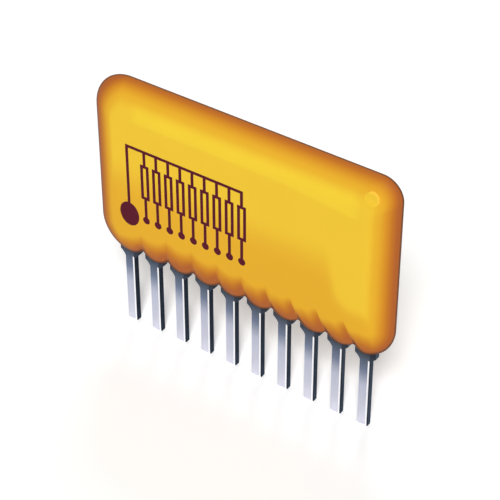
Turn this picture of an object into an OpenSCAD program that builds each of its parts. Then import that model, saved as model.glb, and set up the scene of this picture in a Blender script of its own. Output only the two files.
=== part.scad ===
// Single-in-line resistor network: a ceramic plate with printed resistors, held by a row of clip
// leads and dipped in a glossy coat that hangs in a lobe round each lead.
// X runs along the pin row from pin 1, the marked front faces -Y, and Z is up.
// The origin is the middle of the pin row at the necks of the leads, where the part seats on a board.

/* [Pin row] */
// Number of pins in the row
pin_count = 10; // [4:1:14]
// Distance between neighbouring pins
pitch = 2.54; // [2.2:0.02:5.08]

/* [Leads] */
// Width of a pin across its front
lead_w = 0.98; // [0.5:0.02:1.1]
// Thickness of the strip that the leads are stamped from
lead_t = 0.52; // [0.3:0.02:0.54]
// Length of a pin below its neck
pin_len = 6.62; // [3:0.02:12]
// Bevel of a pin's long edges, measured across its front
bevel_w = 0.22; // [0.04:0.02:0.22]
// Bevel of a pin's long edges, measured across its side
bevel_d = 0.04; // [0.02:0.01:0.1]
// Width of the shoulder above the neck
shoulder_w = 1.88; // [1.6:0.02:1.9]
// Height over which the pin flares out to the shoulder
flare_h = 0.52; // [0.2:0.02:0.7]
// Height of the root of the clip's fingers above the neck
fork_z = 1.1; // [0.9:0.05:1.25]
// Width over the fingers of the clip
fork_w = 1.5; // [1.2:0.02:1.58]
// Slot between neighbouring fingers of the clip
slot_w = 0.11; // [0.06:0.01:0.2]
// Length of the fingers above the plate's lower edge
finger_len = 2.3; // [1.2:0.05:3]
// Straight run of the fingers just below the plate
finger_relief = 0.06; // [0.02:0.01:0.12]

/* [Ceramic plate] */
// Thickness of the plate
plate_t = 0.64; // [0.5:0.02:0.8]
// Height of the plate
plate_h = 14.35; // [12.6:0.05:20]
// Height of the plate's lower edge above the necks
plate_z = 1.95; // [1.7:0.01:2.3]
// Plate beyond the centre of each end pin
plate_end = 1; // [0.96:0.02:1.6]

/* [Printed films] */
// Thickness of one printed film
film_t = 0.04; // [0.03:0.005:0.06]
// Width of the solder pad under a clip's front finger
pad_w = 1.5; // [1.36:0.02:1.8]
// Bare ceramic below a pad
pad_inset = 0.15; // [0.05:0.01:0.3]
// Pad that shows above the solder
pad_rim = 0.35; // [0.1:0.05:0.6]
// Width of the track from a pad to its resistor
track_w = 0.7; // [0.3:0.05:1.2]
// Length of that track
track_len = 2; // [0.5:0.1:2.4]
// Height of the terminal under a resistor's lower end
terminal_h = 0.6; // [0.45:0.05:0.9]
// Terminal that shows on each side of a resistor
terminal_side = 0.1; // [0.02:0.02:0.2]
// Width of a resistor
resistor_w = 1.4; // [0.8:0.05:1.6]
// Length of a resistor between its terminals
resistor_h = 4.4; // [3:0.1:4.8]
// Lap of a resistor over each terminal
resistor_lap = 0.35; // [0.15:0.05:0.4]
// Width of the kerf that trims a resistor to value
kerf_w = 0.1; // [0.06:0.01:0.16]
// Depth of that kerf from the resistor's side
kerf_depth = 0.6; // [0.3:0.05:0.65]
// Longest run of that kerf along the resistor
kerf_run = 1.5; // [0.8:0.1:1.9]
// Height of the kerf's mouth above the resistor's lower end
kerf_start = 0.8; // [0.2:0.1:1]
// Height of the common bus along the upper ends
bus_h = 0.9; // [0.5:0.05:1.2]
// Thickness of the glass film over the resistors
glaze_t = 0.06; // [0.04:0.01:0.12]
// Glass film beyond the resistors on each side
glaze_margin = 0.2; // [0.05:0.05:0.3]

/* [Solder] */
// Width of a solder joint on its pad
solder_w = 1.3; // [0.9:0.05:1.35]
// Height of a solder joint above its pad
solder_rise = 0.3; // [0.1:0.02:0.4]
// Solder beyond the tip of the finger
solder_tip = 0.4; // [0.2:0.05:0.6]

/* [Coat] */
// Coat over each face of the plate
coat_cover = 0.945; // [0.8:0.005:1.4]
// Coat beyond the plate at pin 1's end
coat_left = 1.63; // [1.2:0.01:2.4]
// Coat beyond the plate at the other end
coat_right = 1.33; // [1.2:0.01:2.4]
// Coat above the plate
coat_top = 1.23; // [0.9:0.01:2.2]
// Reach of the rounded edge in from either end
edge_side = 2.5; // [1.2:0.05:2.6]
// Reach of the rounded edge down from the top
edge_top = 3; // [1.2:0.05:4]
// Reach of the rounded edge up from the lobes
edge_bottom = 2.8; // [2:0.05:3.4]
// Corner radius above pin 1
corner_first = 3.15; // [1.6:0.05:3.6]
// Corner radius above the last pin
corner_last = 1.9; // [1.6:0.05:3.6]
// Rise of the lower corner at pin 1
corner_rise_first = 3.15; // [2:0.05:3.5]
// Rise of the lower corner at the last pin
corner_rise_last = 3.15; // [2:0.05:3.5]

/* [Lobes] */
// Height of a lobe's lowest point above the necks
lobe_z = 0.56; // [0.3:0.02:0.7]
// Height of the valley between two lobes above their lowest points
lobe_depth = 0.62; // [0.2:0.02:0.8]
// Sharpness of the valleys, where 2 makes each lobe a plain curve
lobe_sharpness = 2.4; // [1.6:0.1:3.2]

/* [Round mark] */
// Diameter of the raised round mark near the upper corner
mark_d = 1.2; // [0.8:0.05:1.6]
// Distance of the mark's centre from the coat's end
mark_from_end = 1.95; // [1.2:0.01:2.4]
// Distance of the mark's centre from the coat's top
mark_from_top = 1.5; // [1:0.01:2]
// Depth of the mark's flat below the front face
mark_sink = 0.19; // [0.1:0.01:0.3]
// Bevel round the mark's flat
mark_bevel = 0.07; // [0.02:0.01:0.15]

/* [Hidden] */
// Steps of the coat's rounded edge from its rim to a face, of one corner and of one lobe
edge_steps = 8;
corner_steps = 8;
lobe_steps = 10;
// Share of a corner's radius that is left where the edge meets the face
face_corner = 0.25;
// Part of a pitch by which the lower corners reach in past the end pins
corner_reach = 0.19;
// Least run of a lower corner that is left where the edge meets the face
least_run = 0.1;
// How slowly the valleys fade up the face
valley_fade = 0.8;
// How late the shoulders flare out, where 1 makes a straight flare, and its steps
flare_curve = 1.5;
flare_steps = 6;
// Spread of the kerfs' runs, and the turn in degrees from one resistor to the next
kerf_spread = 0.35;
kerf_turn = 97;
// Overlap of shapes that are joined
join = 0.2;
round_fn = 48;

row_len = (pin_count - 1) * pitch;
first_x = -row_len / 2;
last_x = row_len / 2;
plate_face = plate_t / 2;
plate_top = plate_z + plate_h;
plate_len = row_len + 2 * plate_end;

finger_w = (fork_w - 2 * slot_w) / 3;
finger_top = plate_z + finger_len;
film_face = plate_face + film_t;
pad_bottom = plate_z + pad_inset;
solder_top = finger_top + solder_tip;
pad_top = solder_top + pad_rim;
terminal_z = pad_top + track_len;
resistor_z = terminal_z + terminal_h;
bus_z = resistor_z + resistor_h;
lap_z0 = resistor_z - resistor_lap;
lap_z1 = bus_z + resistor_lap;
resistor_face = film_face + film_t;
glaze_face = resistor_face + glaze_t;

coat_face = plate_face + coat_cover;
coat_x0 = -plate_len / 2 - coat_left;
coat_x1 = plate_len / 2 + coat_right;
coat_z1 = plate_top + coat_top;
reach_x0 = first_x + corner_reach * pitch;
reach_x1 = last_x - corner_reach * pitch;
edge_x0 = min(edge_side, reach_x0 - coat_x0 - least_run);
edge_x1 = min(edge_side, coat_x1 - reach_x1 - least_run);

// Points of one ring round the coat: the lower edge has the two lower corners and the lobes
lobe_first = floor(corner_reach * lobe_steps) + 1;
lobe_last = (pin_count - 1) * lobe_steps - lobe_first;
lower_points = 2 * (corner_steps + 1) + lobe_last - lobe_first + 1;
ring_points = lower_points + 2 * (corner_steps + 1);

function pin_x(i) = first_x + (i - 1) * pitch;
function lerp(a, b, t) = a + (b - a) * t;

// Rise of the rim above the lobes' lowest points: none at a lead, most halfway between two leads
function valley(x) =
    let (
        at = (x - first_x) / pitch,
        off = 2 * abs(at - round(at))
    )
    x < first_x || x > last_x ? 0 : lobe_depth * pow(off, lobe_sharpness);

function arc(cx, cz, rx, rz, from, to) = [
    for (j = [0:corner_steps])
        let (a = lerp(from, to, j / corner_steps))
            [cx + rx * cos(a), cz + rz * sin(a)]
];

// Outline of the coat at one step of its rounded edge, from the rim at 0 to a face at edge_steps
function outline(step) =
    let (
        inward = 1 - cos(90 * step / edge_steps),
        shrink = lerp(1, face_corner, inward),
        x0 = coat_x0 + edge_x0 * inward,
        x1 = coat_x1 - edge_x1 * inward,
        z0 = lobe_z + edge_bottom * inward,
        z1 = coat_z1 - edge_top * inward,
        rise0 = corner_rise_first * shrink,
        rise1 = corner_rise_last * shrink,
        r0 = corner_first * shrink,
        r1 = corner_last * shrink,
        lift = pow(1 - inward, valley_fade),
        lower = concat(
            arc(reach_x0, z0 + rise0, reach_x0 - x0, rise0, 180, 270),
            [for (j = [lobe_first:lobe_last]) [first_x + j * pitch / lobe_steps, z0]],
            arc(reach_x1, z0 + rise1, x1 - reach_x1, rise1, 270, 360)
        )
    )
    concat(
        [for (p = lower) [p.x, p.y + valley(p.x) * lift]],
        arc(x1 - r1, z1 - r1, r1, r1, 0, 90),
        arc(x0 + r0, z1 - r0, r0, r0, 90, 180)
    );

// One ring of points, from the front face at 0 over the rim to the back face
function ring(j) =
    let (
        step = abs(edge_steps - j),
        depth = coat_face * sin(90 * step / edge_steps)
    )
    [for (p = outline(step)) [p.x, j < edge_steps ? -depth : depth, p.y]];

// Triangles between a ring and the next one
function strip(j) = [
    for (i = [0:ring_points - 1])
        let (
            a = j * ring_points,
            b = a + ring_points,
            next = (i + 1) % ring_points
        )
        each [[a + i, a + next, b + next], [a + i, b + next, b + i]]
];

// Extrudes an outline drawn in X and Z from the depth y0 to the depth y1
module slab(y0, y1) {
    translate([0, y1, 0])
        rotate([90, 0, 0])
            linear_extrude(y1 - y0)
                children();
}

// Extrudes a profile drawn in Y and Z over the width w, centred on X
module bar(w) {
    rotate([90, 0, 90])
        linear_extrude(w, center = true)
            children();
}

// Rectangle in X and Z
module field(x0, x1, z0, z1) {
    translate([x0, z0])
        square([x1 - x0, z1 - z0]);
}

// Pillow of coat between two flat faces, with lobes along its lower rim
module coat_form() {
    rings = 2 * edge_steps;
    polyhedron(
        points = [for (j = [0:rings]) each ring(j)],
        faces = concat(
            [[for (i = [ring_points - 1:-1:0]) i]],
            [for (j = [0:rings - 1]) each strip(j)],
            [[for (i = [0:ring_points - 1]) rings * ring_points + i]]
        ),
        convexity = 6
    );
}

// Flat round mark that stands out where the upper corner rounds away
module round_mark() {
    root = glaze_face;
    drum = coat_face - mark_sink - mark_bevel - root;
    translate([coat_x1 - mark_from_end, -root, coat_z1 - mark_from_top])
        rotate([90, 0, 0]) {
            cylinder(d = mark_d, h = drum, $fn = round_fn);
            translate([0, 0, drum])
                cylinder(d1 = mark_d, d2 = mark_d - 2 * mark_bevel, h = mark_bevel, $fn = round_fn);
        }
}

module plate_form() {
    slab(-plate_face, plate_face)
        field(-plate_len / 2, plate_len / 2, plate_z, plate_top);
}

// Solder pad with its track up to the height z
module pad_outline(i, z) {
    x = pin_x(i);
    field(x - pad_w / 2, x + pad_w / 2, pad_bottom, pad_top);
    field(x - track_w / 2, x + track_w / 2, pad_top - join, z);
}

// Pad of a resistor, ending in the terminal under its lower end
module resistor_pad_outline(i) {
    half = resistor_w / 2 + terminal_side;
    pad_outline(i, terminal_z + join);
    field(pin_x(i) - half, pin_x(i) + half, terminal_z, resistor_z);
}

// Bus along the upper ends of the resistors, with the track down to pin 1's pad
module bus_outline() {
    pad_outline(1, bus_z + join);
    field(first_x - track_w / 2, last_x + resistor_w / 2 + terminal_side, bus_z, bus_z + bus_h);
}

// Printed film on the plate, or with over its bed, which reaches that far past the plate's face
module film(over = 0) {
    slab(-film_face, over - plate_face)
        children();
}

// Cut in from the resistor's side, then along it, which sets its value
module kerf_outline(i) {
    side = pin_x(i) - resistor_w / 2;
    mouth = resistor_z + kerf_start;
    run = kerf_run * (1 - kerf_spread * (1 + sin(kerf_turn * i)) / 2);
    field(side - join, side + kerf_depth, mouth, mouth + kerf_w);
    field(side + kerf_depth - kerf_w, side + kerf_depth, mouth, mouth + run);
}

// Resistor film that lies on the plate and laps over its terminals
module resistor_form(i) {
    difference() {
        translate([pin_x(i), 0, 0])
            bar(resistor_w)
                polygon([
                    [-plate_face, resistor_z],
                    [-film_face, resistor_z],
                    [-film_face, lap_z0],
                    [-resistor_face, lap_z0],
                    [-resistor_face, lap_z1],
                    [-film_face, lap_z1],
                    [-film_face, bus_z],
                    [-plate_face, bus_z]
                ]);
        slab(-resistor_face - join, join - plate_face)
            kerf_outline(i);
    }
}

// Room that a resistor and what it laps over take up in the glass
module resistor_bed(i) {
    half = resistor_w / 2;
    slab(-resistor_face, join - plate_face)
        difference() {
            field(pin_x(i) - half, pin_x(i) + half, lap_z0, lap_z1);
            kerf_outline(i);
        }
}

// Block of glass over the row of resistors, before what lies in it is taken out
module glaze_block() {
    left = pin_x(2) - resistor_w / 2 - glaze_margin;
    right = min(last_x + resistor_w / 2 + glaze_margin, plate_len / 2);
    slab(-glaze_face, -plate_face)
        field(left, right, lap_z0 - glaze_margin, lap_z1 + glaze_margin);
}

// Sloped mound of solder on a pad, before the finger is taken out
module solder_mound() {
    rise = film_face + solder_rise;
    intersection() {
        translate([0, 0, pad_bottom])
            linear_extrude(solder_top - pad_bottom)
                polygon([
                    [-solder_w / 2, -film_face],
                    [-finger_w / 2, -rise],
                    [finger_w / 2, -rise],
                    [solder_w / 2, -film_face]
                ]);
        bar(solder_w)
            polygon([
                [-film_face, pad_bottom],
                [-film_face, solder_top],
                [-rise, finger_top],
                [-rise, pad_bottom]
            ]);
    }
}

// Clip finger from the fork's root to its tip, on a face at the distance seat from the middle
module finger_profile(seat) {
    half = lead_t / 2;
    elbow = plate_z - finger_relief;
    polygon([
        [-half, fork_z - join],
        [half, fork_z - join],
        [half, fork_z],
        [seat + lead_t, elbow],
        [seat + lead_t, finger_top],
        [seat, finger_top],
        [seat, elbow],
        [-half, fork_z]
    ]);
}

// Pin's section with bevelled edges
module pin_section() {
    w = lead_w / 2;
    d = lead_t / 2;
    polygon([
        for (q = [[1, 1], [-1, 1], [-1, -1], [1, -1]])
            let (
                on_side = [q.x * w, q.y * (d - bevel_d)],
                on_face = [q.x * (w - bevel_w), q.y * d]
            )
            each q.x == q.y ? [on_side, on_face] : [on_face, on_side]
    ]);
}

// One side of the shoulder in X and Z, flaring out from the neck up to its full width
function flare(side) = [
    for (j = [0:flare_steps])
        let (t = j / flare_steps)
            [side * lerp(lead_w, shoulder_w, pow(t, flare_curve)) / 2, flare_h * t]
];

// Stamped lead: bevelled pin, flared shoulder, and a fork of one front and two back fingers
module lead_form() {
    s = shoulder_w / 2;
    translate([0, 0, -pin_len])
        linear_extrude(pin_len + join)
            pin_section();
    slab(-lead_t / 2, lead_t / 2)
        polygon(concat(flare(-1), [[-s, fork_z], [s, fork_z]], [for (j = [flare_steps:-1:0]) flare(1)[j]]));
    bar(finger_w)
        mirror([1, 0])
            finger_profile(film_face);
    for (side = [-1, 1])
        translate([side * (finger_w + slot_w), 0, 0])
            bar(finger_w)
                finger_profile(plate_face);
}

// Everything that the coat closes round
module filling() {
    plate_form();
    glaze_block();
    film() {
        bus_outline();
        for (i = [2:pin_count])
            resistor_pad_outline(i);
    }
    for (i = [1:pin_count])
        translate([pin_x(i), 0, 0]) {
            solder_mound();
            lead_form();
        }
}

module coating() {
    color("#F0C63C")
        difference() {
            union() {
                coat_form();
                round_mark();
            }
            filling();
        }
}

module ceramic_plate() {
    color("#F3F1EA")
        plate_form();
}

module common_bus() {
    color("#C8C4B8")
        film()
            bus_outline();
}

module pad(i) {
    color("#C8C4B8")
        film()
            resistor_pad_outline(i);
}

module resistor(i) {
    color("#2A2724")
        resistor_form(i);
}

module glaze_film() {
    color("#4E7A5A")
        difference() {
            glaze_block();
            film(join) {
                bus_outline();
                for (i = [2:pin_count])
                    resistor_pad_outline(i);
            }
            for (i = [2:pin_count])
                resistor_bed(i);
        }
}

module solder(i) {
    color("#AEB3BA")
        translate([pin_x(i), 0, 0])
            difference() {
                solder_mound();
                lead_form();
            }
}

module lead(i) {
    color("#9AA3B4")
        translate([pin_x(i), 0, 0])
            lead_form();
}

coating();
ceramic_plate();
common_bus();
glaze_film();
for (i = [2:pin_count]) pad(i);
for (i = [2:pin_count]) resistor(i);
for (i = [1:pin_count]) solder(i);
for (i = [1:pin_count]) lead(i);
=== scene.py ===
import math

import bpy
import numpy as np
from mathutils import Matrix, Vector


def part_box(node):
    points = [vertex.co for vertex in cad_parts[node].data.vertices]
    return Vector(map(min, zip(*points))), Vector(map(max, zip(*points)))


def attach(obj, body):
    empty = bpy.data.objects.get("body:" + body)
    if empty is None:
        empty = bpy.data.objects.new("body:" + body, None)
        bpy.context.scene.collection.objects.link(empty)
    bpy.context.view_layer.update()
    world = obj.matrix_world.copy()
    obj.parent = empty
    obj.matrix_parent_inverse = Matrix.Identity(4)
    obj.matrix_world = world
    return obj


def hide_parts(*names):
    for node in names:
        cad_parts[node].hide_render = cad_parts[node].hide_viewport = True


bl_info = {
    "name": "Single-in-line resistor network",
    "version": (1, 0, 0),
    "blender": (4, 5, 0),
    "location": "View3D > Sidebar > Network",
    "description": "Dresses a resistor network: its dipped coat, its tinned leads and the circuit inside",
    "category": "Object",
}

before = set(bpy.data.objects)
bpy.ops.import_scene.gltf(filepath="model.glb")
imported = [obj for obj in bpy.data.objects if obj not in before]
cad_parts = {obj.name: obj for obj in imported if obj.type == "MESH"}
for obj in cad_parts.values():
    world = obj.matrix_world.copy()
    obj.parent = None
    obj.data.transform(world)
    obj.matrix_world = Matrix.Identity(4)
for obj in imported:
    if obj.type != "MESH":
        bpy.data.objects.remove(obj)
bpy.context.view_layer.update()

MM = 0.001
PIN_COUNT = sum(name.startswith("lead_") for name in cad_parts)
LEADS = [f"lead_{i}" for i in range(1, PIN_COUNT + 1)]
COAT_LOW, COAT_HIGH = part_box("coating")
LEAD_LOW, LEAD_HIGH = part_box("lead_1")
FIRST_X = (LEAD_LOW.x + LEAD_HIGH.x) / 2
LAST_X = sum(corner.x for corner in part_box(LEADS[-1])) / 2
PITCH = (LAST_X - FIRST_X) / (PIN_COUNT - 1)
FLOOR_Z = LEAD_LOW.z
COAT_FACE = COAT_HIGH.y

# Fineness of the coat's mesh: points to a lobe, a corner, a side and the top, rings to an edge and a face,
# and points and arc steps to the round mark
LOBE_STEPS = 32
CORNER_STEPS = 20
SIDE_STEPS = 12
TOP_STEPS = 32
EDGE_RINGS = 26
FACE_RINGS = 18
MARK_STEPS = 64
MARK_ARC_STEPS = 5


def linear(text):
    """Linear colour with alpha from a hex colour such as F2C73D, by the sRGB curve."""
    shares = [int(text[i:i + 2], 16) / 255 for i in (0, 2, 4)]
    return tuple(c / 12.92 if c <= 0.04045 else ((c + 0.055) / 1.055) ** 2.4 for c in shares) + (1.0,)


def length(label, tells, mm):
    """Property for a length, given in millimetres and kept in metres."""
    return bpy.props.FloatProperty(
        name=label, description=tells, default=mm * MM, unit="LENGTH", precision=5)


def share(label, tells, value, top=1.0):
    """Property for a plain number from 0 to a top value."""
    kind = "FACTOR" if top == 1.0 else "NONE"
    return bpy.props.FloatProperty(
        name=label, description=tells, default=value, min=0.0, max=top, subtype=kind)


def angle(label, tells, degrees):
    """Property for an angle, given in degrees and kept in radians."""
    return bpy.props.FloatProperty(
        name=label, description=tells, default=math.radians(degrees), subtype="ANGLE")


def colour(label, tells, text):
    """Property for a colour, given in hex."""
    return bpy.props.FloatVectorProperty(
        name=label, description=tells, default=linear(text), size=4, min=0.0, max=1.0, subtype="COLOR")


class NETWORK_PG_coat(bpy.types.PropertyGroup):
    """Form and finish of the dipped coat, with its painted shade, painted sheen and painted highlight."""

    edge_side: length("Edge at the ends", "Reach of the rounded edge in from either end", 2.5)
    edge_top: length("Edge at the top", "Reach of the rounded edge down from the top", 3.0)
    edge_bottom: length("Edge at the lobes", "Reach of the rounded edge up from the lobes", 2.8)
    corner_first: length("Corner above pin 1", "Radius of the upper corner above pin 1", 3.15)
    corner_last: length("Corner above the last pin", "Radius of the upper corner above the last pin", 1.9)
    rise_first: length("Rise at pin 1", "Rise of the lower corner at pin 1", 3.15)
    rise_last: length("Rise at the last pin", "Rise of the lower corner at the last pin", 3.15)
    face_corner: share(
        "Corner left at the face", "Share of a corner that is left where the edge meets the face", 0.25)
    corner_reach: share(
        "Corner reach", "Part of a pitch by which the lower corners reach in past the end pins", 0.19)
    lobe_depth: length("Lobe depth", "Height of the valley between two lobes", 0.62)
    lobe_sharpness: share("Lobe sharpness", "Sharpness of the valleys between the lobes", 2.1, 4.0)
    valley_fade: share("Valley fade", "How slowly the valleys fade up the rounded edge", 0.8)
    crease_depth: length("Crease depth", "Depth of the crease that runs up the face from a valley", 0.08)
    crease_first: length("Crease at pin 1", "Height to which the creases run at pin 1", 2.2)
    crease_last: length("Crease at the last pin", "Height to which the creases run at the last pin", 3.7)
    crease_low: length(
        "Crease at the rim", "Offset of the creases at the rim from halfway between leads", -0.04)
    crease_set: length("Crease set", "Sideways run of the creases from the rim to the face", 0.86)
    crease_lean: share("Crease lean", "Lean of the last creases towards pin 1 as they rise", 0.46)
    crease_start: length("Crease start", "Height above the lobes from which the creases lean", 1.1)
    lean_start: length("Lean start", "Place along the row from which the creases lean", -6.0)
    lean_full: length("Lean full", "Place along the row at which they lean most", 10.0)
    mark_across: length(
        "Mark from the end", "Distance of the round mark's centre from the coat's end", 1.95)
    mark_down: length("Mark from the top", "Distance of the round mark's centre from the coat's top", 1.5)
    mark_radius: length("Mark radius", "Radius of the round mark", 0.6)
    mark_sink: length("Mark sink", "Depth of the mark's flat below the front face", 0.19)
    mark_bevel: length("Mark bevel", "Rounding of the mark's rim", 0.07)
    mark_root: length("Mark root", "Depth of the mark's root inside the coat", 0.6)
    # Painted shade round the lobes: deepest at the rim and just before each crease, and its blur
    tone_high: length(
        "Deep colour starts", "Height above the lobes at which the colour starts to deepen", 3.9)
    tone_low: length("Deep colour ends", "Height above the lobes at which the colour is deepest", 0.8)
    tone_first: length("Deep towards pin 1", "How much higher the deep colour reaches towards pin 1", 0.55)
    tone_end: length("Pale at pin 1", "How far the deep colour drops again on the first lobes", 1.1)
    tone_valley: length("Deep in a valley", "How much higher the deep colour reaches in a valley", 0.5)
    tone_before: length(
        "Deep before a crease", "How much higher the deep colour reaches before a crease", 0.55)
    tone_after: length("Pale after a crease", "How much lower the deep colour stays after a crease", 0.5)
    tone_fade: length("Crease fade", "Height over which a crease fades out", 1.1)
    crease_blur: share("Crease blur", "Blur of a crease at the last pin, as a part of the pitch", 0.015)
    crease_blur_first: share("Crease blur at pin 1", "Further blur of a crease at pin 1", 0.1)
    # Painted shade low on the face, and a painted sheen on its brighter part towards the last end
    lower_face_shade: share("Lower face", "How much deeper the colour is low on the face", 0.27)
    low_tone_full: length("Lower face full", "Height below which the lower face is deepest", 6.5)
    low_tone_top: length("Lower face top", "Height at which the lower face ends", 13.0)
    bright_from: length("Bright part", "Place along the row from which the face is brighter", 8.9)
    bright_top: length("Bright part's bend", "Height below which the bright part's border curves", 9.0)
    bright_curve: share("Bright part's curve", "Curve of that border", 0.043)
    bright_blur: length("Bright part's blur", "Blur of that border", 1.0)
    bright_foot: length("Bright part's foot", "Height at which the bright part ends above the lobes", 4.1)
    bright_full: length("Bright part full", "Height from which the bright part is at its brightest", 6.8)
    # Painted sheen: a pale band under the upper edge
    band_low: length("Band", "Height of the upper band's lower side", 14.45)
    band_bend: length("Band bend", "Place along the row from which the band's lower side falls", 4.0)
    band_fall: share("Band fall", "Fall of the band's lower side", 0.1)
    band_first: length("Band start", "Place along the row where the band starts", -10.2)
    band_last: length("Band end", "Place along the row where the band ends", 11.3)
    band_blur: length("Band blur", "Blur of the band's lower side", 0.2)
    band_fade: length("Band fade", "Length over which the band's ends fade", 1.2)
    face_colour: colour("Face", "Colour of the flat faces", "F2C738")
    # Painted sheen under the upper edge
    sheen_band_colour: colour("Upper band", "Colour of the band under the upper edge", "F6D13A")
    # Painted shade: colours the coat's edges are painted with as they turn away from the front
    edge_shade_near: colour("Edge start", "Colour where the edge starts to turn", "E8AF2F")
    edge_shade_half: colour("Edge middle", "Colour halfway round the edge", "D68F29")
    edge_shade_far: colour("Edge end", "Colour where the edge is steep", "C47628")
    edge_shade_steep: colour("Edge at the rim", "Colour beside the rim", "B6652E")
    # Painted shade: the thin dark line along the rim
    rim_shade_colour: colour("Rim", "Colour of the rim's thin dark line", "5E3316")
    # Painted highlight along the round mark's edge
    mark_highlight_colour: colour("Mark's edge", "Colour of the round mark's bright edge", "FDCA45")
    print_colour: colour("Print", "Colour of the printed marks", "5A1A2A")
    roughness: share("Roughness", "Roughness of the coat", 0.35)
    gloss: share("Gloss", "Strength of the coat's reflections", 0.03)


class NETWORK_PG_leads(bpy.types.PropertyGroup):
    """Finish of the tinned leads, with their painted shade and painted highlight."""

    # Painted shade: the tin darkens from the tips up to where the pins enter the coat
    shoulder_shade_colour: colour("Shoulder", "Colour of the tin where it enters the coat", "40464F")
    neck_shade_colour: colour("Neck", "Colour of the tin at the neck", "566071")
    upper_shade_colour: colour("Upper pin", "Colour of the tin below the neck", "727D94")
    middle_shade_colour: colour("Middle of the pin", "Colour of the tin halfway down a pin", "BABFD0")
    tip_colour: colour("Tip", "Colour of the tin at the tips", "D6D5DF")
    # Painted highlight along the bevelled edge
    bevel_highlight_colour: colour("Bevel", "Colour of the bright bevelled edge", "FAFCFF")
    # Painted shade on the pins' sides
    side_shade_colour: colour("Side", "Colour of the sheared sides", "1E232D")
    grazing_colour: colour("Grazing", "Tint of the tin where it is seen at a grazing angle", "D8E4F4")
    # Place of the bevel's painted highlight and of the sides' painted shade beside it
    line_top: length("Bevel top", "Height of the bright edge's upper end above the neck", 0.12)
    line_near: length(
        "Bevel inner side", "Distance of the bright edge's inner side from the pin's middle", 0.275)
    line_far: length(
        "Bevel outer side", "Distance from the pin's middle beyond which the sheared side is dark", 0.4)
    roughness: share("Roughness", "Roughness of the tin", 0.3)


class NETWORK_PG_circuit(bpy.types.PropertyGroup):
    """Finish of the circuit inside the coat."""

    ceramic_colour: colour("Ceramic", "Colour of the fired ceramic plate", "F0EEE6")
    conductor_colour: colour("Conductor", "Colour of the fired silver films", "C8C4B8")
    resistor_colour: colour("Resistor", "Colour of the resistor films", "2A2724")
    glaze_colour: colour("Glaze", "Colour of the glass film", "4E7A5A")
    solder_colour: colour("Solder", "Colour of the solder joints", "AEB3BA")
    ceramic_roughness: share("Ceramic roughness", "Roughness of the ceramic plate", 0.6)
    conductor_roughness: share("Conductor roughness", "Roughness of the silver films", 0.4)
    conductor_metal: share("Conductor metal", "How far the silver films reflect as metal does", 0.9)
    resistor_roughness: share("Resistor roughness", "Roughness of the resistor films", 0.6)
    glaze_roughness: share("Glaze roughness", "Roughness of the glass film", 0.2)
    solder_roughness: share("Solder roughness", "Roughness of the solder joints", 0.3)


class NETWORK_PG_stage(bpy.types.PropertyGroup):
    """Camera, floor and light."""

    azimuth: angle("Azimuth", "Turn of the camera round the part", 34.917)
    elevation: angle("Elevation", "Height of the camera above the horizon", 37.674)
    distance: length("Distance", "Distance of the camera from the part's origin", 146.21)
    aim_across: length("Aim across", "Sideways offset of the camera's aim from the origin", 0.379)
    aim_up: length("Aim up", "Upward offset of the camera's aim from the origin", 4.404)
    lens: bpy.props.FloatProperty(
        name="Lens", description="Focal length on a 36 mm sensor", default=131.8, unit="CAMERA")
    key_azimuth: angle("Key azimuth", "Turn of the main light round the part", 29.0)
    key_elevation: angle("Key elevation", "Height of the main light above the horizon", 48.0)
    key_softness: angle("Key softness", "Width of the main light as the part sees it", 14.0)
    key_strength: share("Key", "Strength of the main light", 2.15, 10.0)
    back_strength: share("Back", "Strength of the weak light from behind", 0.4, 10.0)
    sky_strength: share("Sky", "Strength of the even light from all round", 0.3, 10.0)
    floor_colour: colour("Floor", "Colour of the pale floor", "FCFCFC")
    floor_lift: share("Floor lift", "White that the floor shows by itself where it is looked at", 0.17)


class Socket:
    """One shader output: arithmetic on it adds Math nodes, and node() adds any other node."""

    def __init__(self, tree, output=None):
        self.tree = tree
        self.output = output

    def node(self, kind, settings=None, sockets=None, take=0):
        """Adds a node: its kind, its settings, its sockets' values or links, and the outputs to give."""
        made = self.tree.nodes.new(kind)
        for name, value in (settings or {}).items():
            if name == "stops":
                set_stops(made.color_ramp, value)
            else:
                setattr(made, name, value)
        for name, value in (sockets or {}).items():
            if isinstance(value, Socket):
                self.tree.links.new(value.output, made.inputs[name])
            else:
                made.inputs[name].default_value = value
        if isinstance(take, tuple):
            return [Socket(self.tree, made.outputs[name]) for name in take]
        return Socket(self.tree, made.outputs[take] if made.outputs else None)

    def math(self, operation, *values):
        """Adds a Math node."""
        return self.node("ShaderNodeMath", {"operation": operation}, dict(enumerate(values)))

    def __add__(self, other):
        return self.math("ADD", self, other)

    def __radd__(self, other):
        return self.math("ADD", other, self)

    def __sub__(self, other):
        return self.math("SUBTRACT", self, other)

    def __rsub__(self, other):
        return self.math("SUBTRACT", other, self)

    def __mul__(self, other):
        return self.math("MULTIPLY", self, other)

    def __rmul__(self, other):
        return self.math("MULTIPLY", other, self)

    def __truediv__(self, other):
        return self.math("DIVIDE", self, other)

    def __rtruediv__(self, other):
        return self.math("DIVIDE", other, self)

    def __pow__(self, other):
        return self.math("POWER", self, other)

    def __neg__(self):
        return self.math("MULTIPLY", self, -1.0)

    def __abs__(self):
        return self.math("ABSOLUTE", self)

    def __lt__(self, other):
        return self.math("LESS_THAN", self, other)

    def __gt__(self, other):
        return self.math("GREATER_THAN", self, other)


def set_stops(ramp, stops):
    """Gives a colour ramp these stops, each a place and a colour."""
    while len(ramp.elements) < len(stops):
        ramp.elements.new(1.0)
    for element, (place, value) in zip(ramp.elements, stops):
        element.position = place
        element.color = value


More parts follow.
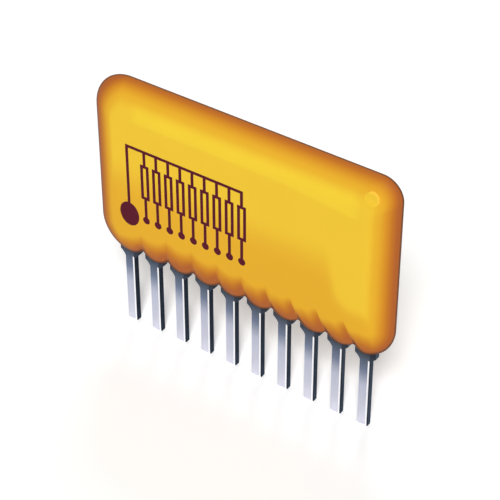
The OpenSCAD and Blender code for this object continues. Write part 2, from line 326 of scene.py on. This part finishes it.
def risen(value, low, high):
    """0 below low, 1 above high, and a smooth rise between, for a socket or for numbers."""
    if isinstance(value, Socket):
        return value.node("ShaderNodeMapRange", {"interpolation_type": "SMOOTHSTEP"},
                          {"Value": value, "From Min": low, "From Max": high})
    t = np.clip((value - low) / (high - low), 0, 1)
    return t * t * (3 - 2 * t)


def level(value, low, high):
    """0 at low, 1 at high, and an even rise between."""
    return value.node("ShaderNodeMapRange", None, {"Value": value, "From Min": low, "From Max": high})


def larger(a, b):
    """The larger of two values, for sockets or for numbers."""
    if isinstance(a, Socket):
        return a.math("MAXIMUM", a, b)
    return np.maximum(a, b)


def smaller(a, b):
    """The smaller of two values, the first a socket."""
    return a.math("MINIMUM", a, b)


def split(vector):
    """The three parts of a vector."""
    return vector.node("ShaderNodeSeparateXYZ", None, {0: vector}, ("X", "Y", "Z"))


def mixed(mask, under, over):
    """Colour under where the mask is 0 and over where it is 1."""
    return mask.node("ShaderNodeMix", {"data_type": "RGBA"}, {0: mask, 6: under, 7: over}, 2)


def shaded(at, places, colours):
    """Colour that runs through these colours, each at its place from 0 to 1."""
    stops = [(place, tuple(value)) for place, value in zip(places, colours)]
    return at.node("ShaderNodeValToRGB", {"stops": stops}, {"Fac": at})


def grain(point, size, detail=2.0):
    """Noise from 0 to 1 with features of this size."""
    return point.node("ShaderNodeTexNoise", None, {"Vector": point, "Scale": 1 / size, "Detail": detail})


def mottled(body, *grains):
    """Colour with grains, each a noise from 0 to 1 and the part by which it changes the colour."""
    tone = 1.0 - sum(part for _, part in grains) / 2
    for noise, part in grains:
        tone = tone + noise * part
    return tone.node("ShaderNodeVectorMath", {"operation": "SCALE"}, {0: body, "Scale": tone})


def bumped(height, depth):
    """Normal of a surface with these heights, from 0 to 1, at this depth."""
    return height.node("ShaderNodeBump", None, {"Strength": 1.0, "Distance": depth, "Height": height})


def new_finish(name):
    """A new material and its empty tree."""
    material = bpy.data.materials.new(name)
    material.use_nodes = True
    material.node_tree.nodes.clear()
    return material, Socket(material.node_tree)


def point_on(tree):
    """The point on the object that is shaded."""
    return tree.node("ShaderNodeTexCoord", None, None, "Object")


def normal_at(tree, kind):
    """The surface's normal at that point, smoothed (Normal) or of the flat face (True Normal)."""
    return tree.node("ShaderNodeNewGeometry", None, None, kind)


def surface(tree, sockets):
    """Closes a material with a Principled surface."""
    shader = tree.node("ShaderNodeBsdfPrincipled", None, sockets)
    tree.node("ShaderNodeOutputMaterial", None, {"Surface": shader})


def box_mask(x, z, x0, x1, z0, z1):
    """1 inside an upright rectangle in X and Z."""
    across = abs(x - (x0 + x1) / 2) < (x1 - x0) / 2
    along = abs(z - (z0 + z1) / 2) < (z1 - z0) / 2
    return across * along


# Printed circuit plan on the front: the pin 1 dot, the common line and a row of resistor signs
DOT_X = -10.41 * MM
DOT_Z = 5.46 * MM
DOT_RX = 0.96 * MM
DOT_RZ = 1.13 * MM
PLAN_LEFT = -9.3 * MM
PLAN_STEP = 1.16 * MM
PLAN_SIGNS = PIN_COUNT - 1
PLAN_LINE = 0.28 * MM
PLAN_TOP = 12.2 * MM
SIGN_W = 0.84 * MM
SIGN_LOW = 7.5 * MM
SIGN_HIGH = 10.8 * MM
END_R = 0.34 * MM


def print_mask(x, z):
    """1 on the printed marks."""
    dot = ((x - DOT_X) / DOT_RX) ** 2.0 + ((z - DOT_Z) / DOT_RZ) ** 2.0 < 1.0
    right = PLAN_LEFT + PLAN_SIGNS * PLAN_STEP
    step = (x - PLAN_LEFT) / PLAN_STEP
    off = abs(step.math("FRACT", step) - 0.5) * PLAN_STEP
    sign_half = (SIGN_HIGH - SIGN_LOW) / 2
    from_sign = abs(z - (SIGN_LOW + SIGN_HIGH) / 2)
    outside = larger(off - SIGN_W / 2, from_sign - sign_half)
    ring = abs(outside + PLAN_LINE / 2) < PLAN_LINE / 2
    stem = (off < PLAN_LINE / 2) * (from_sign > sign_half)
    stop = (off * off + (z - DOT_Z) ** 2.0) ** 0.5 < END_R
    signs = larger(larger(ring, stem), stop) * box_mask(x, z, PLAN_LEFT, right, DOT_Z - END_R, PLAN_TOP)
    last_stem = right - PLAN_STEP / 2 + PLAN_LINE / 2
    bus = box_mask(x, z, DOT_X - PLAN_LINE / 2, last_stem, PLAN_TOP - PLAN_LINE, PLAN_TOP)
    drop = box_mask(x, z, DOT_X - PLAN_LINE / 2, DOT_X + PLAN_LINE / 2, DOT_Z, PLAN_TOP)
    return larger(larger(dot, signs), larger(bus, drop))


def crease_shift(coat, x, z, depth):
    """Offset of the creases from halfway between two leads, with depth 0 at the rim and 1 at a face."""
    lean = coat.crease_lean * risen(x, coat.lean_start, coat.lean_full)
    rise = larger(z - COAT_LOW.z - coat.crease_start, 0.0)
    return coat.crease_low + coat.crease_set * depth - lean * rise


# Painted shade round the lobes: the number of lobes at an end of the row that differ from the rest, the
# parts of a pitch over which it deepens before a crease and pales after one, the power that bends its rise,
# and the pitches past the last lead and past the coat's end between which it fades
END_LOBES = 2
BEFORE_CREASE = (0.05, 0.45)
AFTER_CREASE = (0.55, 0.9)
TONE_BEND = 1.1
FADE_PAST_LEAD = 0.2
FADE_PAST_END = 0.4


def lobe_shade(coat, x, y, z):
    """How deep the painted shade is round the lobes: most at the rim, and more before a crease."""
    up = z - COAT_LOW.z
    depth = smaller(abs(y) / COAT_FACE, 1.0)
    along = smaller(larger(x - crease_shift(coat, x, z, depth), FIRST_X), LAST_X)
    at = (along - FIRST_X) / PITCH
    at = at.math("FRACT", at)
    to_first = 1.0 - level(x, FIRST_X, LAST_X - END_LOBES * PITCH)
    blur = coat.crease_blur + coat.crease_blur_first * to_first
    past = risen(at, 0.5 - blur, 0.5 + blur)
    before = risen(at, *BEFORE_CREASE) * (1.0 - past)
    after = past * (1.0 - risen(at, *AFTER_CREASE))
    rim = (2.0 * at.math("PINGPONG", at, 0.5)) ** coat.lobe_sharpness
    end = 1.0 - level(x, FIRST_X, FIRST_X + END_LOBES * PITCH)
    height = up - coat.tone_first * to_first + coat.tone_end * end - coat.tone_valley * rim
    crease_top = coat.crease_first + (coat.crease_last - coat.crease_first) * (1.0 - to_first)
    low = 1.0 - risen(up - crease_top, -coat.tone_fade, 0.0)
    height = height - low * (coat.tone_before * before - coat.tone_after * after)
    ends = risen(x, LAST_X + FADE_PAST_LEAD * PITCH, COAT_HIGH.x + FADE_PAST_END * PITCH)
    row = risen(x, FIRST_X - PITCH / 2, FIRST_X) * (1.0 - ends)
    return level(height, coat.tone_high, coat.tone_low) ** TONE_BEND * row


def face_shade_and_sheen(coat, x, z):
    """How deep the painted shade is low on the face, up to the border of its bright part, a painted sheen.
    """
    low = larger(coat.bright_top - z, 0.0)
    border = coat.bright_from + coat.bright_curve * low * low / MM
    bright = risen(x - border, -coat.bright_blur, coat.bright_blur)
    bright = bright * risen(z, coat.bright_foot, coat.bright_full)
    return coat.lower_face_shade * (1.0 - risen(z, coat.low_tone_full, coat.low_tone_top)) * (1.0 - bright)


def sheen_band_mask(coat, x, z):
    """1 on the painted sheen, a pale band under the upper edge."""
    low = coat.band_low - coat.band_fall * larger(x - coat.band_bend, 0.0)
    first = risen(x, coat.band_first, coat.band_first + coat.band_fade)
    last = 1.0 - risen(x, coat.band_last - coat.band_fade, coat.band_last)
    return risen(z - low, -coat.band_blur, coat.band_blur) * first * last


# Fixed direction from which the coat's edges are painted as lit. The rim's painted shade, a thin dark line,
# starts and ends where a surface faces that way by these amounts, and it widens by this much on sides
# towards it and away.
PAINTED_LIT_SIDE = (0.45, -0.65, 0.61)
RIM_START = (-0.2, -0.05)
RIM_END = (0.1, 0.34)
RIM_TOWARDS = 0.28
RIM_AWAY = 0.15


def rim_shade_line(normal):
    """1 along the painted shade, a thin dark line where the rounded edge turns away from the painted lit
    side.
    """
    facing = normal.node(
        "ShaderNodeVectorMath", {"operation": "DOT_PRODUCT"}, {0: normal, 1: PAINTED_LIT_SIDE}, "Value")
    nx, _, nz = split(normal)
    inner = facing - larger(RIM_TOWARDS * nx, -RIM_AWAY * nx) - larger(RIM_TOWARDS * nz, -RIM_AWAY * nz)
    return risen(facing, *RIM_START) * (1.0 - risen(inner, *RIM_END))


# Paint of the round mark, as shares of its radius: its border, and the painted highlight crescent's rise
# across and around it
MARK_BORDER = 1.01
CRESCENT_RISE = (0.6, 0.9)
CRESCENT_TURN = 0.6


def mark_paint(coat, x, y, z, body):
    """Body colour with the round mark, which has a painted highlight along its upper outer side."""
    across = x - (COAT_HIGH.x - coat.mark_across)
    along = z - (COAT_HIGH.z - coat.mark_down)
    away = (across * across + along * along) ** 0.5
    on_mark = (away < coat.mark_radius * MARK_BORDER) * (y < 0.0)
    outer = risen(away, CRESCENT_RISE[0] * coat.mark_radius, CRESCENT_RISE[1] * coat.mark_radius)
    crescent_highlight = outer * risen(across + along, 0.0, CRESCENT_TURN * coat.mark_radius)
    pale = mixed(crescent_highlight, tuple(coat.face_colour), tuple(coat.mark_highlight_colour))
    return mixed(on_mark, body, pale)


# Painted shade on the coat's edges beyond their tilt: it deepens in full towards the first end, by these
# parts towards the last end and on the underside, and pales on top
LAST_END_DEEPER = 0.12
UNDERSIDE_DEEPER = 0.8
TOP_PALER = 0.15
# Softness with which the painted shade of the lobes and the lower face joins the edges' painted shade
LOBE_BLEND = 0.1
FACE_BLEND = 0.05
# Scale of the painted shade on the edges' colours, their places there, the tones between which the face
# turns to them, and how much the rim's painted dark line covers
EDGE_SCALE = 0.8
EDGE_PLACES = (0.24, 0.41, 0.56, 0.74)
FACE_TO_EDGE = (0.08, 0.3)
RIM_STRENGTH = 0.9
# Grain of the epoxy: sizes, how much each changes the colour and the roughness, and the depth of its ripple
CLOUD_SIZE = 3.0 * MM
CLOUD_TONE = 0.05
CLOUD_ROUGHNESS = 0.08
FLECK_SIZE = 0.12 * MM
FLECK_DETAIL = 3.0
FLECK_TONE = 0.02
RIPPLE_SIZE = 0.5 * MM
RIPPLE_SHARE = 0.7
RIPPLE_DEPTH = 0.004 * MM
# How far a surface faces the front where it is printed, and how much rougher the print is
PRINT_FACING = 0.9
PRINT_ROUGHNESS = 0.1


def coat_finish(coat):
    """Golden epoxy with painted shade, deepening to orange where the edges turn away, painted sheen and
    highlight, and the printed marks.
    """
    material, tree = new_finish("golden_epoxy")
    point = point_on(tree)
    normal = normal_at(tree, "Normal")
    x, y, z = split(point)
    nx, ny, nz = split(normal)
    tilt = (1.0 - ny * ny) ** 0.5
    # Painted shade: deeper as the surface tilts away from the front, towards the first end and underneath,
    # paler on top
    edge = tilt + larger(-nx, LAST_END_DEEPER * nx) + larger(-UNDERSIDE_DEEPER * nz, -TOP_PALER * nz)
    # Painted shade round the lobes and low on the face, joined to the edges' painted shade
    deep = edge.math("SMOOTH_MAX", edge, lobe_shade(coat, x, y, z), LOBE_BLEND)
    deep = deep.math("SMOOTH_MAX", deep, face_shade_and_sheen(coat, x, z), FACE_BLEND)
    # Painted sheen: the pale band under the upper edge
    face = mixed(sheen_band_mask(coat, x, z), tuple(coat.face_colour), tuple(coat.sheen_band_colour))
    turned = shaded(deep * EDGE_SCALE, EDGE_PLACES,
                    (coat.edge_shade_near, coat.edge_shade_half, coat.edge_shade_far, coat.edge_shade_steep))
    body = mixed(risen(deep, *FACE_TO_EDGE), face, turned)
    # Painted shade: the thin dark line along the rim
    body = mixed(rim_shade_line(normal) * RIM_STRENGTH, body, tuple(coat.rim_shade_colour))
    # Painted highlight along the round mark's upper outer side
    body = mark_paint(coat, x, y, z, body)

    cloud = grain(point, CLOUD_SIZE)
    fleck = grain(point, FLECK_SIZE, FLECK_DETAIL)
    body = mottled(body, (cloud, CLOUD_TONE), (fleck, FLECK_TONE))
    inked = print_mask(x, z) * (ny < -PRINT_FACING)
    ripple = grain(point, RIPPLE_SIZE) * RIPPLE_SHARE + fleck * (1.0 - RIPPLE_SHARE)
    surface(tree, {
        "Base Color": mixed(inked, body, tuple(coat.print_colour)),
        "Roughness": coat.roughness + cloud * CLOUD_ROUGHNESS + inked * PRINT_ROUGHNESS,
        "Specular IOR Level": coat.gloss,
        "Normal": bumped(ripple, RIPPLE_DEPTH),
    })
    return material


# Grain of the tin: streaks drawn out along the pins and flecks, with what they change
STREAK_SIZE = 0.05 * MM
STREAK_SQUEEZE = 0.04
STREAK_DETAIL = 3.0
STREAK_TONE = 0.12
STREAK_DEPTH = 0.002 * MM
TIN_FLECK_SIZE = 0.3 * MM
TIN_FLECK_DETAIL = 3.0
TIN_FLECK_SHIFT = 0.3 * MM
TIN_FLECK_ROUGHNESS = 0.1
# Height from which the tin's painted shade runs down to the tips, and the places of its colours on that run
TIN_SHADE_TOP = 0.8 * MM
TIN_SHADE_PLACES = (0.01, 0.09, 0.243, 0.46, 1.0)
# How far a surface faces front or back to have the bevel's painted highlight, how far sideways to be a
# sheared side with painted shade, and how softly that shade starts
BEVEL_FACING = 0.5
SIDE_FACING = (0.75, 0.9)
SIDE_BLUR = 0.02 * MM
# Height over which the sheared sides' painted shade pales up the flare, and by how much
FLARE_TOP = 0.36 * MM
FLARE_PALER = 0.45


def tin_finish(leads):
    """Tin plate with painted shade from slate at the shoulders to bright at the tips, a painted bevel
    highlight and dark painted shade on its sides.
    """
    material, tree = new_finish("tin_plate")
    point = point_on(tree)
    x, y, z = split(point)
    nx, ny, _ = split(normal_at(tree, "True Normal"))
    drawn = tree.node("ShaderNodeCombineXYZ", None, {0: x, 1: y, 2: z * STREAK_SQUEEZE})
    streak = grain(drawn, STREAK_SIZE, STREAK_DETAIL)
    fleck = grain(point, TIN_FLECK_SIZE, TIN_FLECK_DETAIL)
    # Painted shade: darker up towards the coat
    down = level(z + (fleck - 0.5) * TIN_FLECK_SHIFT, TIN_SHADE_TOP, FLOOR_Z)
    face = shaded(down, TIN_SHADE_PLACES, (leads.shoulder_shade_colour, leads.neck_shade_colour, leads.upper_shade_colour,
                                     leads.middle_shade_colour, leads.tip_colour))
    at = (x - FIRST_X) / PITCH
    off = (at - at.math("ROUND", at)) * PITCH
    # Painted highlight along the bevels on the pins' outer side
    line = (off > leads.line_near) * (abs(ny) > BEVEL_FACING) * (z < leads.line_top)
    outer = risen(off, leads.line_far - SIDE_BLUR, leads.line_far + SIDE_BLUR)
    # Painted shade on the sides and on the front beside them, paler up the flare
    side = larger(risen(abs(nx), *SIDE_FACING), outer)
    side = side * (1.0 - FLARE_PALER * risen(z, 0.0, FLARE_TOP))
    body = mixed(side, mixed(line, face, tuple(leads.bevel_highlight_colour)), tuple(leads.side_shade_colour))
    surface(tree, {
        "Base Color": mottled(body, (streak, STREAK_TONE)),
        "Metallic": 1.0,
        "Specular Tint": tuple(leads.grazing_colour),
        "Roughness": leads.roughness + fleck * TIN_FLECK_ROUGHNESS,
        "Normal": bumped(streak, STREAK_DEPTH),
    })
    return material


# Grain of the fired films and the plate, with what it changes
FIRED_GRAIN_SIZE = 0.06 * MM
FIRED_GRAIN_DETAIL = 3.0
FIRED_GRAIN_TONE = 0.12
FIRED_GRAIN_DEPTH = 0.002 * MM
FIRED_CLOUD_SIZE = 0.8 * MM
FIRED_CLOUD_TONE = 0.08
FIRED_CLOUD_ROUGHNESS = 0.12


def fired_finish(name, base, roughness, metallic=0.0):
    """A fired film or plate: one colour with a fine grain and a slight cloud."""
    material, tree = new_finish(name)
    point = point_on(tree)
    fine = grain(point, FIRED_GRAIN_SIZE, FIRED_GRAIN_DETAIL)
    cloud = grain(point, FIRED_CLOUD_SIZE)
    surface(tree, {
        "Base Color": mottled(tuple(base)[:3], (fine, FIRED_GRAIN_TONE), (cloud, FIRED_CLOUD_TONE)),
        "Metallic": metallic,
        "Roughness": roughness + cloud * FIRED_CLOUD_ROUGHNESS,
        "Normal": bumped(fine, FIRED_GRAIN_DEPTH),
    })
    return material


def arc(centre, radii, start, end):
    """Points of an elliptical arc in X and Z, from one angle in degrees to another."""
    turn = np.radians(np.linspace(start, end, CORNER_STEPS + 1))
    return np.column_stack([centre[0] + radii[0] * np.cos(turn), centre[1] + radii[1] * np.sin(turn)])


def between(start, end, steps):
    """Points that divide a straight run, without its ends."""
    at = np.linspace(0, 1, steps + 1)[1:-1, None]
    return np.asarray(start) * (1 - at) + np.asarray(end) * at


def valley(x, sharpness):
    """0 at a lead and 1 halfway between two leads, where two lobes meet."""
    at = (x - FIRST_X) / PITCH
    off = 2 * np.abs(at - np.round(at))
    return np.where((x < FIRST_X) | (x > LAST_X), 0.0, off ** sharpness)


def coat_outline(coat, turn):
    """Outline of the coat in X and Z where its edge has turned by this share, from the rim to a face."""
    inward = 1 - math.cos(math.pi / 2 * turn)
    shrink = 1 + (coat.face_corner - 1) * inward
    x0 = COAT_LOW.x + coat.edge_side * inward
    x1 = COAT_HIGH.x - coat.edge_side * inward
    z0 = COAT_LOW.z + coat.edge_bottom * inward
    z1 = COAT_HIGH.z - coat.edge_top * inward
    reach0 = FIRST_X + coat.corner_reach * PITCH
    reach1 = LAST_X - coat.corner_reach * PITCH
    rise0 = coat.rise_first * shrink
    rise1 = coat.rise_last * shrink
    r0 = coat.corner_first * shrink
    r1 = coat.corner_last * shrink
    reach_steps = int(coat.corner_reach * LOBE_STEPS)
    steps = np.arange(reach_steps + 1, (PIN_COUNT - 1) * LOBE_STEPS - reach_steps)
    lobe_x = FIRST_X + steps * PITCH / LOBE_STEPS
    lower = np.vstack([
        arc((reach0, z0 + rise0), (reach0 - x0, rise0), 180, 270),
        np.column_stack([lobe_x, np.full(len(lobe_x), z0)]),
        arc((reach1, z0 + rise1), (x1 - reach1, rise1), 270, 360),
    ])
    lift = coat.lobe_depth * math.cos(math.pi / 2 * turn) ** coat.valley_fade
    shift = crease_shift(coat, lower[:, 0], z0 + lift, math.sin(math.pi / 2 * turn))
    lower[:, 1] += lift * valley(lower[:, 0] - shift, coat.lobe_sharpness)
    upper_last = arc((x1 - r1, z1 - r1), (r1, r1), 0, 90)
    upper_first = arc((x0 + r0, z1 - r0), (r0, r0), 90, 180)
    return np.vstack([
        lower,
        between(lower[-1], upper_last[0], SIDE_STEPS),
        upper_last,
        between(upper_last[-1], upper_first[0], TOP_STEPS),
        upper_first,
        between(upper_first[-1], lower[0], SIDE_STEPS),
    ])


def crease(coat, x, z, depth):
    """Depth of the creases that run up a face from the valleys between the lobes."""
    up = z - COAT_LOW.z
    along = np.clip((x - FIRST_X) / (LAST_X - FIRST_X), 0, 1)
    top = coat.crease_first + (coat.crease_last - coat.crease_first) * along
    fade = risen(up, 0, coat.edge_bottom / 2) * (1 - risen(up, coat.edge_bottom / 2, top))
    across = x - crease_shift(coat, x, z, depth)
    return coat.crease_depth * valley(across, coat.lobe_sharpness) * fade * depth


# Size of the innermost ring, as a share of a face of the coat and of the round mark's flat
FACE_CENTRE = 0.04
MARK_CENTRE = 0.9


def coat_half(coat, side):
    """Rings of points from the middle of a face out to the rim, at side -1 the front and at 1 the back."""
    face = coat_outline(coat, 1.0)
    low, high = face.min(axis=0), face.max(axis=0)
    half = (high[1] - low[1]) / 2
    core = np.column_stack([np.clip(face[:, 0], low[0] + half, high[0] - half),
                            np.full(len(face), low[1] + half)])
    outlines = [core + (face - core) * at for at in np.linspace(FACE_CENTRE, 1, FACE_RINGS)[:-1]]
    depths = [1.0] * len(outlines)
    for turn in np.linspace(1, 0, EDGE_RINGS + 1):
        outlines.append(coat_outline(coat, turn))
        depths.append(math.sin(math.pi / 2 * turn))
    rings = []
    for points, depth in zip(outlines, depths):
        y = COAT_FACE * depth - crease(coat, points[:, 0], points[:, 1], depth)
        rings.append(np.column_stack([points[:, 0], side * y, points[:, 1]]))
    return rings


def bridge(rings, first=0):
    """Faces that join each ring of points to the next, and close both ends."""
    count = len(rings[0])
    faces = [tuple(first + i for i in reversed(range(count)))]
    for row in range(len(rings) - 1):
        here = first + row * count
        there = here + count
        for i in range(count):
            after = (i + 1) % count
            faces.append((here + i, here + after, there + after, there + i))
    last = first + (len(rings) - 1) * count
    faces.append(tuple(last + i for i in range(count)))
    return faces


def mark_rings(coat):
    """Rings of the raised round mark, from its flat back to its root inside the coat."""
    centre_x = COAT_HIGH.x - coat.mark_across
    centre_z = COAT_HIGH.z - coat.mark_down
    flat_y = coat.mark_sink - COAT_FACE
    turns = np.radians(np.linspace(0, 90, MARK_ARC_STEPS + 1))
    flat_r = coat.mark_radius - coat.mark_bevel
    profile = [(flat_r * MARK_CENTRE, flat_y)]
    for turn in turns:
        outward_by = coat.mark_bevel * math.sin(turn)
        inward_by = coat.mark_bevel * (1 - math.cos(turn))
        profile.append((flat_r + outward_by, flat_y + inward_by))
    profile.append((coat.mark_radius, coat.mark_root - COAT_FACE))
    round_turn = np.linspace(0, 2 * np.pi, MARK_STEPS, endpoint=False)
    return [np.column_stack([centre_x + r * np.cos(round_turn), np.full(MARK_STEPS, y),
                             centre_z + r * np.sin(round_turn)]) for r, y in profile]


def add_mesh(name, shells):
    """A smooth mesh object made of closed shells, each a list of rings."""
    points = []
    faces = []
    for rings in shells:
        faces += bridge(rings, sum(len(p) for p in points))
        points += rings
    mesh = bpy.data.meshes.new(name)
    mesh.from_pydata(np.vstack(points).tolist(), [], faces)
    mesh.polygons.foreach_set("use_smooth", [True] * len(mesh.polygons))
    mesh.update()
    made = bpy.data.objects.new(name, mesh)
    bpy.context.scene.collection.objects.link(made)
    return made


def nodes_named(*starts):
    """CAD nodes whose names start with one of these words."""
    return sorted(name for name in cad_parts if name.startswith(starts))


def dress(nodes, material):
    """Gives CAD nodes a finish."""
    for name in nodes:
        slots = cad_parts[name].data.materials
        slots.clear()
        slots.append(material)


# Half of the floor's side in metres, how many times nearer and farther than the part the camera sees, and
# the sky's colour
FLOOR_REACH = 3.0
CLIP_REACH = 100
WHITE = (1.0, 1.0, 1.0, 1.0)


def outward(azimuth, elevation):
    """Direction from the part to a camera or a lamp."""
    flat = math.cos(elevation)
    return Vector((math.sin(azimuth) * flat, -math.cos(azimuth) * flat, math.sin(elevation)))


def seen_rays(tree):
    """1 for rays that look: straight from the camera, or by way of a gloss or a clear surface."""
    names = ("Is Camera Ray", "Is Glossy Ray", "Is Transmission Ray")
    camera, glossy, clear = tree.node("ShaderNodeLightPath", None, None, names)
    return larger(larger(camera, glossy), clear)


def floor_finish(stage):
    """Pale floor that is white where it is looked at and keeps the part's shadow."""
    material, tree = new_finish("pale_floor")
    seen = seen_rays(tree)
    matt = tree.node("ShaderNodeBsdfDiffuse", None, {"Color": tuple(stage.floor_colour)})
    glow = tree.node("ShaderNodeEmission", None, {"Strength": seen * stage.floor_lift})
    both = tree.node("ShaderNodeAddShader", None, {0: matt, 1: glow})
    tree.node("ShaderNodeOutputMaterial", None, {"Surface": both})
    return material


def add_floor(stage):
    """Wide pale floor under the pins' tips."""
    signs = ((-1, -1), (1, -1), (1, 1), (-1, 1))
    corners = [(x * FLOOR_REACH, y * FLOOR_REACH, FLOOR_Z) for x, y in signs]
    mesh = bpy.data.meshes.new("floor")
    mesh.from_pydata(corners, [], [(0, 1, 2, 3)])
    mesh.materials.append(floor_finish(stage))
    floor = bpy.data.objects.new("floor", mesh)
    bpy.context.scene.collection.objects.link(floor)


def add_sun(name, azimuth, elevation, softness, strength):
    """Soft lamp that lights the part from this direction."""
    light = bpy.data.lights.new(name, "SUN")
    light.energy = strength
    light.angle = softness
    lamp = bpy.data.objects.new(name, light)
    lamp.rotation_mode = "QUATERNION"
    lamp.rotation_quaternion = (-outward(azimuth, elevation)).to_track_quat("-Z", "Y")
    bpy.context.scene.collection.objects.link(lamp)


def set_sky(scene, stage):
    """Even light from all round, which shows as white where it is looked at."""
    world = bpy.data.worlds.new("studio")
    world.use_nodes = True
    world.node_tree.nodes.clear()
    tree = Socket(world.node_tree)
    strength = stage.sky_strength + seen_rays(tree) * (1.0 - stage.sky_strength)
    sky = tree.node("ShaderNodeBackground", None, {"Color": WHITE, "Strength": strength})
    tree.node("ShaderNodeOutputWorld", None, {"Surface": sky})
    scene.world = world


def add_camera(scene, stage):
    """Camera at the photograph's angle."""
    back = outward(stage.azimuth, stage.elevation)
    turn = (-back).to_track_quat("-Z", "Y")
    data = bpy.data.cameras.new("camera")
    data.lens = stage.lens
    data.clip_start = stage.distance / CLIP_REACH
    data.clip_end = stage.distance * CLIP_REACH
    camera = bpy.data.objects.new("camera", data)
    camera.rotation_mode = "QUATERNION"
    camera.rotation_quaternion = turn
    camera.location = back * stage.distance + turn @ Vector((stage.aim_across, stage.aim_up, 0.0))
    scene.collection.objects.link(camera)
    scene.camera = camera


class NETWORK_OT_coat(bpy.types.Operator):
    """Builds the dipped coat with its lobes, creases, round mark and print"""

    bl_idname = "network.coat"
    bl_label = "Dipped coat"

    def execute(self, context):
        coat = context.scene.network_coat
        front = coat_half(coat, -1)
        back = coat_half(coat, 1)
        piece = add_mesh("dipped_coat", [front + back[-2::-1], mark_rings(coat)])
        piece.data.materials.append(coat_finish(coat))
        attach(piece, "root")
        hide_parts("coating")
        return {"FINISHED"}


class NETWORK_OT_leads(bpy.types.Operator):
    """Gives the clip leads their tin plate"""

    bl_idname = "network.leads"
    bl_label = "Tinned leads"

    def execute(self, context):
        dress(LEADS, tin_finish(context.scene.network_leads))
        return {"FINISHED"}


class NETWORK_OT_circuit(bpy.types.Operator):
    """Gives the plate, the printed films and the solder inside the coat their finish"""

    bl_idname = "network.circuit"
    bl_label = "Circuit inside"

    def execute(self, context):
        look = context.scene.network_circuit
        ceramic = fired_finish("fired_ceramic", look.ceramic_colour, look.ceramic_roughness)
        silver = fired_finish(
            "fired_silver", look.conductor_colour, look.conductor_roughness, look.conductor_metal)
        oxide = fired_finish("resistor_film", look.resistor_colour, look.resistor_roughness)
        glass = fired_finish("glass_film", look.glaze_colour, look.glaze_roughness)
        solder = fired_finish("solder", look.solder_colour, look.solder_roughness, 1.0)
        dress(nodes_named("ceramic_plate"), ceramic)
        dress(nodes_named("pad_", "common_bus"), silver)
        dress(nodes_named("resistor_"), oxide)
        dress(nodes_named("glaze_film"), glass)
        dress(nodes_named("solder_"), solder)
        return {"FINISHED"}


class NETWORK_OT_stage(bpy.types.Operator):
    """Sets up the floor, the soft light and the camera"""

    bl_idname = "network.stage"
    bl_label = "Stage"

    def execute(self, context):
        stage = context.scene.network_stage
        add_floor(stage)
        add_sun("key_light", stage.key_azimuth, stage.key_elevation, stage.key_softness, stage.key_strength)
        add_sun("back_light", stage.key_azimuth + math.pi, stage.key_elevation, stage.key_softness,
                stage.back_strength)
        set_sky(context.scene, stage)
        add_camera(context.scene, stage)
        context.scene.view_settings.view_transform = "Standard"
        return {"FINISHED"}


class NETWORK_PT_panel(bpy.types.Panel):
    """Lists the pieces of the resistor network with their settings"""

    bl_idname = "NETWORK_PT_panel"
    bl_label = "Resistor network"
    bl_space_type = "VIEW_3D"
    bl_region_type = "UI"
    bl_category = "Network"

    def draw(self, context):
        for operator, (name, group) in zip(OPERATORS, SETTINGS.items()):
            column = self.layout.column()
            column.operator(operator.bl_idname)
            for setting in group.__annotations__:
                column.prop(getattr(context.scene, name), setting)


SETTINGS = {
    "network_coat": NETWORK_PG_coat,
    "network_leads": NETWORK_PG_leads,
    "network_circuit": NETWORK_PG_circuit,
    "network_stage": NETWORK_PG_stage,
}
OPERATORS = (NETWORK_OT_coat, NETWORK_OT_leads, NETWORK_OT_circuit, NETWORK_OT_stage)
CLASSES = (*SETTINGS.values(), *OPERATORS, NETWORK_PT_panel)


def register():
    """Makes the settings, the operators and the panel known."""
    for cls in CLASSES:
        bpy.utils.register_class(cls)
    for name, group in SETTINGS.items():
        setattr(bpy.types.Scene, name, bpy.props.PointerProperty(type=group))


def unregister():
    """Takes them away again."""
    for name in SETTINGS:
        delattr(bpy.types.Scene, name)
    for cls in reversed(CLASSES):
        bpy.utils.unregister_class(cls)


def main():
    """Builds the pieces and the stage."""
    register()
    bpy.ops.network.coat()
    bpy.ops.network.leads()
    bpy.ops.network.circuit()
    bpy.ops.network.stage()


if __name__ == "__main__":
    main()
